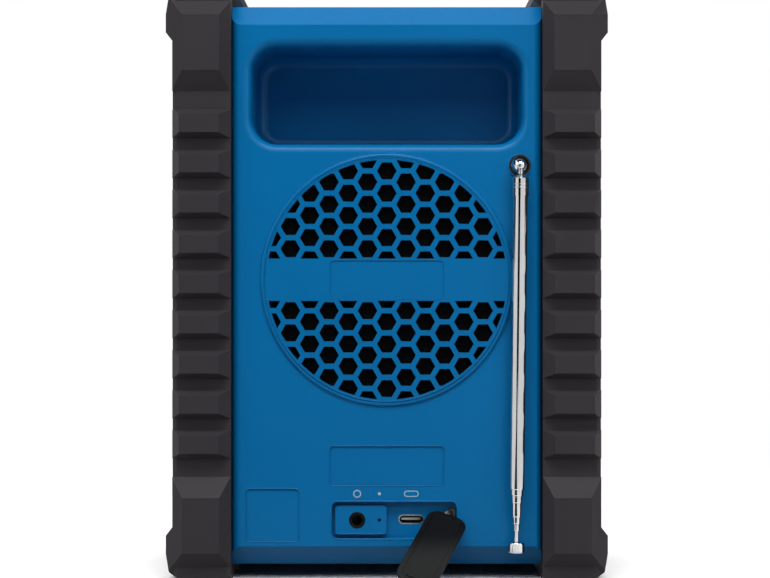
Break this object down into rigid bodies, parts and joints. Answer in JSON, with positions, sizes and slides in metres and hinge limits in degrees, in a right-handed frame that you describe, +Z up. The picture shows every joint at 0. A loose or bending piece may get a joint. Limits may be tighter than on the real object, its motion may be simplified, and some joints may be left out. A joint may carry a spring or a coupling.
{
  "type": "jobsite radio",
  "caption": "Portable jobsite radio with rubber side bumpers, a hand pocket, folding telescopic aerial and a rubber cover over its sockets.",
  "frame": {"origin": "middle of the footprint, on the plane of the bumpers' soles", "axes": "+Z up along the height, -Y out of the control side, +Y out of the aerial side, X across"},
  "size_m": [0.155, 0.1522, 0.208],
  "materials": {
    "blue_abs": "satin moulded ABS",
    "black_rubber": "matt moulded rubber",
    "cover_rubber": "smooth soft rubber",
    "seal_rubber": "matt",
    "black_plastic": "fine moulded grain",
    "grille_steel": "powder coat",
    "chrome_plate": "polished",
    "steel": "zinc plated",
    "nickel_brass": "nickel plated",
    "clear_lens": "clear acrylic",
    "display_module": "glossy",
    "board_green": "solder mask over glass fibre",
    "paper_cone": "coated paper pulp",
    "ferrite": "sintered ferrite and zinc steel",
    "copper_coil": "enamelled copper",
    "cell_wrap": "shrink sleeve",
    "lead_pvc": "insulated lead",
    "key_rubber": "soft touch"
  },
  "bodies": {
    "case": {"front_shell": "blue_abs", "rear_shell": "blue_abs", "case_seal": "seal_rubber", "case_screws": "steel", "bumper_left": "black_rubber", "bumper_right": "black_rubber", "rear_grille": "blue_abs", "front_grille": "grille_steel", "driver_basket": "black_plastic", "driver_magnet": "ferrite", "driver_surround": "seal_rubber", "driver_spider": "paper_cone", "driver_screws": "steel", "radiator_frame": "black_plastic", "radiator_surround": "seal_rubber", "radiator_screws": "steel", "display_lens": "clear_lens", "display_module": "display_module", "control_board": "board_green", "encoder": "steel", "keypad_mat": "key_rubber", "aux_socket": "nickel_brass", "usb_socket": "steel", "port_board": "board_green", "reset_switch": "black_plastic", "cover_anchor": "cover_rubber", "cover_strap": "cover_rubber", "battery_cells": "cell_wrap", "battery_tray": "black_plastic", "amp_board": "board_green", "driver_leads": "lead_pvc", "battery_leads": "lead_pvc", "aerial_lead": "lead_pvc"},
    "cone": {"driver_cone": "paper_cone", "voice_coil": "copper_coil", "dust_cap": "paper_cone"},
    "passive_plate": {"radiator_plate": "black_plastic"},
    "knob": {"tuning_knob": "black_plastic", "knob_shaft": "steel"},
    "reset": {"reset_button": "black_plastic"},
    "cover": {"port_cover": "cover_rubber", "cover_plugs": "cover_rubber"},
    "aerial_base": {"aerial_stud": "chrome_plate", "aerial_pin": "steel", "aerial_nut": "steel"},
    "mast": {"aerial_barrel": "chrome_plate", "aerial_tube_1": "chrome_plate"},
    "key_1": {"key_1": "key_rubber"},
    "key_2": {"key_2": "key_rubber"},
    "key_3": {"key_3": "key_rubber"},
    "key_4": {"key_4": "key_rubber"},
    "key_5": {"key_5": "key_rubber"},
    "mast_2": {"aerial_tube_2": "chrome_plate"},
    "mast_3": {"aerial_tube_3": "chrome_plate"},
    "mast_4": {"aerial_tube_4": "chrome_plate"},
    "mast_5": {"aerial_tube_5": "chrome_plate"},
    "mast_6": {"aerial_tube_6": "chrome_plate"},
    "mast_7": {"aerial_rod": "chrome_plate"}
  },
  "joints": [
    {"name": "knob_turn", "type": "hinge", "parent": "case", "child": "knob", "pos_m": [0.031, -0.055, 0.172], "axis": [0, -1, 0], "continuous": true},
    {"name": "cone_travel", "type": "slide", "parent": "case", "child": "cone", "axis": [0, -1, 0], "range_m": [-0.002, 0.002], "stiffness_N_per_m": 1500, "deforming": ["driver_surround", "driver_spider"]},
    {"name": "passive_travel", "type": "slide", "parent": "case", "child": "passive_plate", "axis": [0, 1, 0], "range_m": [-0.0016, 0.0016], "stiffness_N_per_m": 1200, "deforming": ["radiator_surround"]},
    {"name": "reset_press", "type": "slide", "parent": "case", "child": "reset", "axis": [0, -1, 0], "range_m": [0, 0.0004], "stiffness_N_per_m": 800, "springref_m": -0.0004},
    {"name": "cover_swing", "type": "hinge", "parent": "case", "child": "cover", "pos_m": [-0.0201, 0.0561, 0.0231], "axis": [0.5, 0.7071, 0.5], "range_deg": [-84, 0], "stiffness_Nm_per_rad": 0.004, "deforming": ["cover_strap", "cover_plugs"]},
    {"name": "aerial_swivel", "type": "hinge", "parent": "case", "child": "aerial_base", "pos_m": [-0.0467, 0.0589, 0.1456], "axis": [0, -1, 0], "range_deg": [-2, 1]},
    {"name": "aerial_tilt", "type": "hinge", "parent": "aerial_base", "child": "mast", "pos_m": [-0.0467, 0.0589, 0.1456], "axis": [0.9999, 0, 0.0113], "range_deg": [0, 180]},
    {"name": "key_1_press", "type": "slide", "parent": "case", "child": "key_1", "axis": [0, 1, 0], "range_m": [0, 0.001], "stiffness_N_per_m": 600, "springref_m": -0.001},
    {"name": "key_2_press", "type": "slide", "parent": "case", "child": "key_2", "axis": [0, 1, 0], "range_m": [0, 0.001], "stiffness_N_per_m": 600, "springref_m": -0.001},
    {"name": "key_3_press", "type": "slide", "parent": "case", "child": "key_3", "axis": [0, 1, 0], "range_m": [0, 0.001], "stiffness_N_per_m": 600, "springref_m": -0.001},
    {"name": "key_4_press", "type": "slide", "parent": "case", "child": "key_4", "axis": [0, 1, 0], "range_m": [0, 0.001], "stiffness_N_per_m": 600, "springref_m": -0.001},
    {"name": "key_5_press", "type": "slide", "parent": "case", "child": "key_5", "axis": [0, 1, 0], "range_m": [0, 0.001], "stiffness_N_per_m": 600, "springref_m": -0.001},
    {"name": "aerial_slide_1", "type": "slide", "parent": "mast", "child": "mast_2", "axis": [0.0113, 0, -0.9999], "range_m": [0, 0.088]},
    {"name": "aerial_slide_2", "type": "slide", "parent": "mast_2", "child": "mast_3", "axis": [0.0113, 0, -0.9999], "range_m": [0, 0.09]},
    {"name": "aerial_slide_3", "type": "slide", "parent": "mast_3", "child": "mast_4", "axis": [0.0113, 0, -0.9999], "range_m": [0, 0.092]},
    {"name": "aerial_slide_4", "type": "slide", "parent": "mast_4", "child": "mast_5", "axis": [0.0113, 0, -0.9999], "range_m": [0, 0.096]},
    {"name": "aerial_slide_5", "type": "slide", "parent": "mast_5", "child": "mast_6", "axis": [0.0113, 0, -0.9999], "range_m": [0, 0.097]},
    {"name": "aerial_slide_6", "type": "slide", "parent": "mast_6", "child": "mast_7", "axis": [0.0113, 0, -0.9999], "range_m": [0, 0.099]}
  ]
}
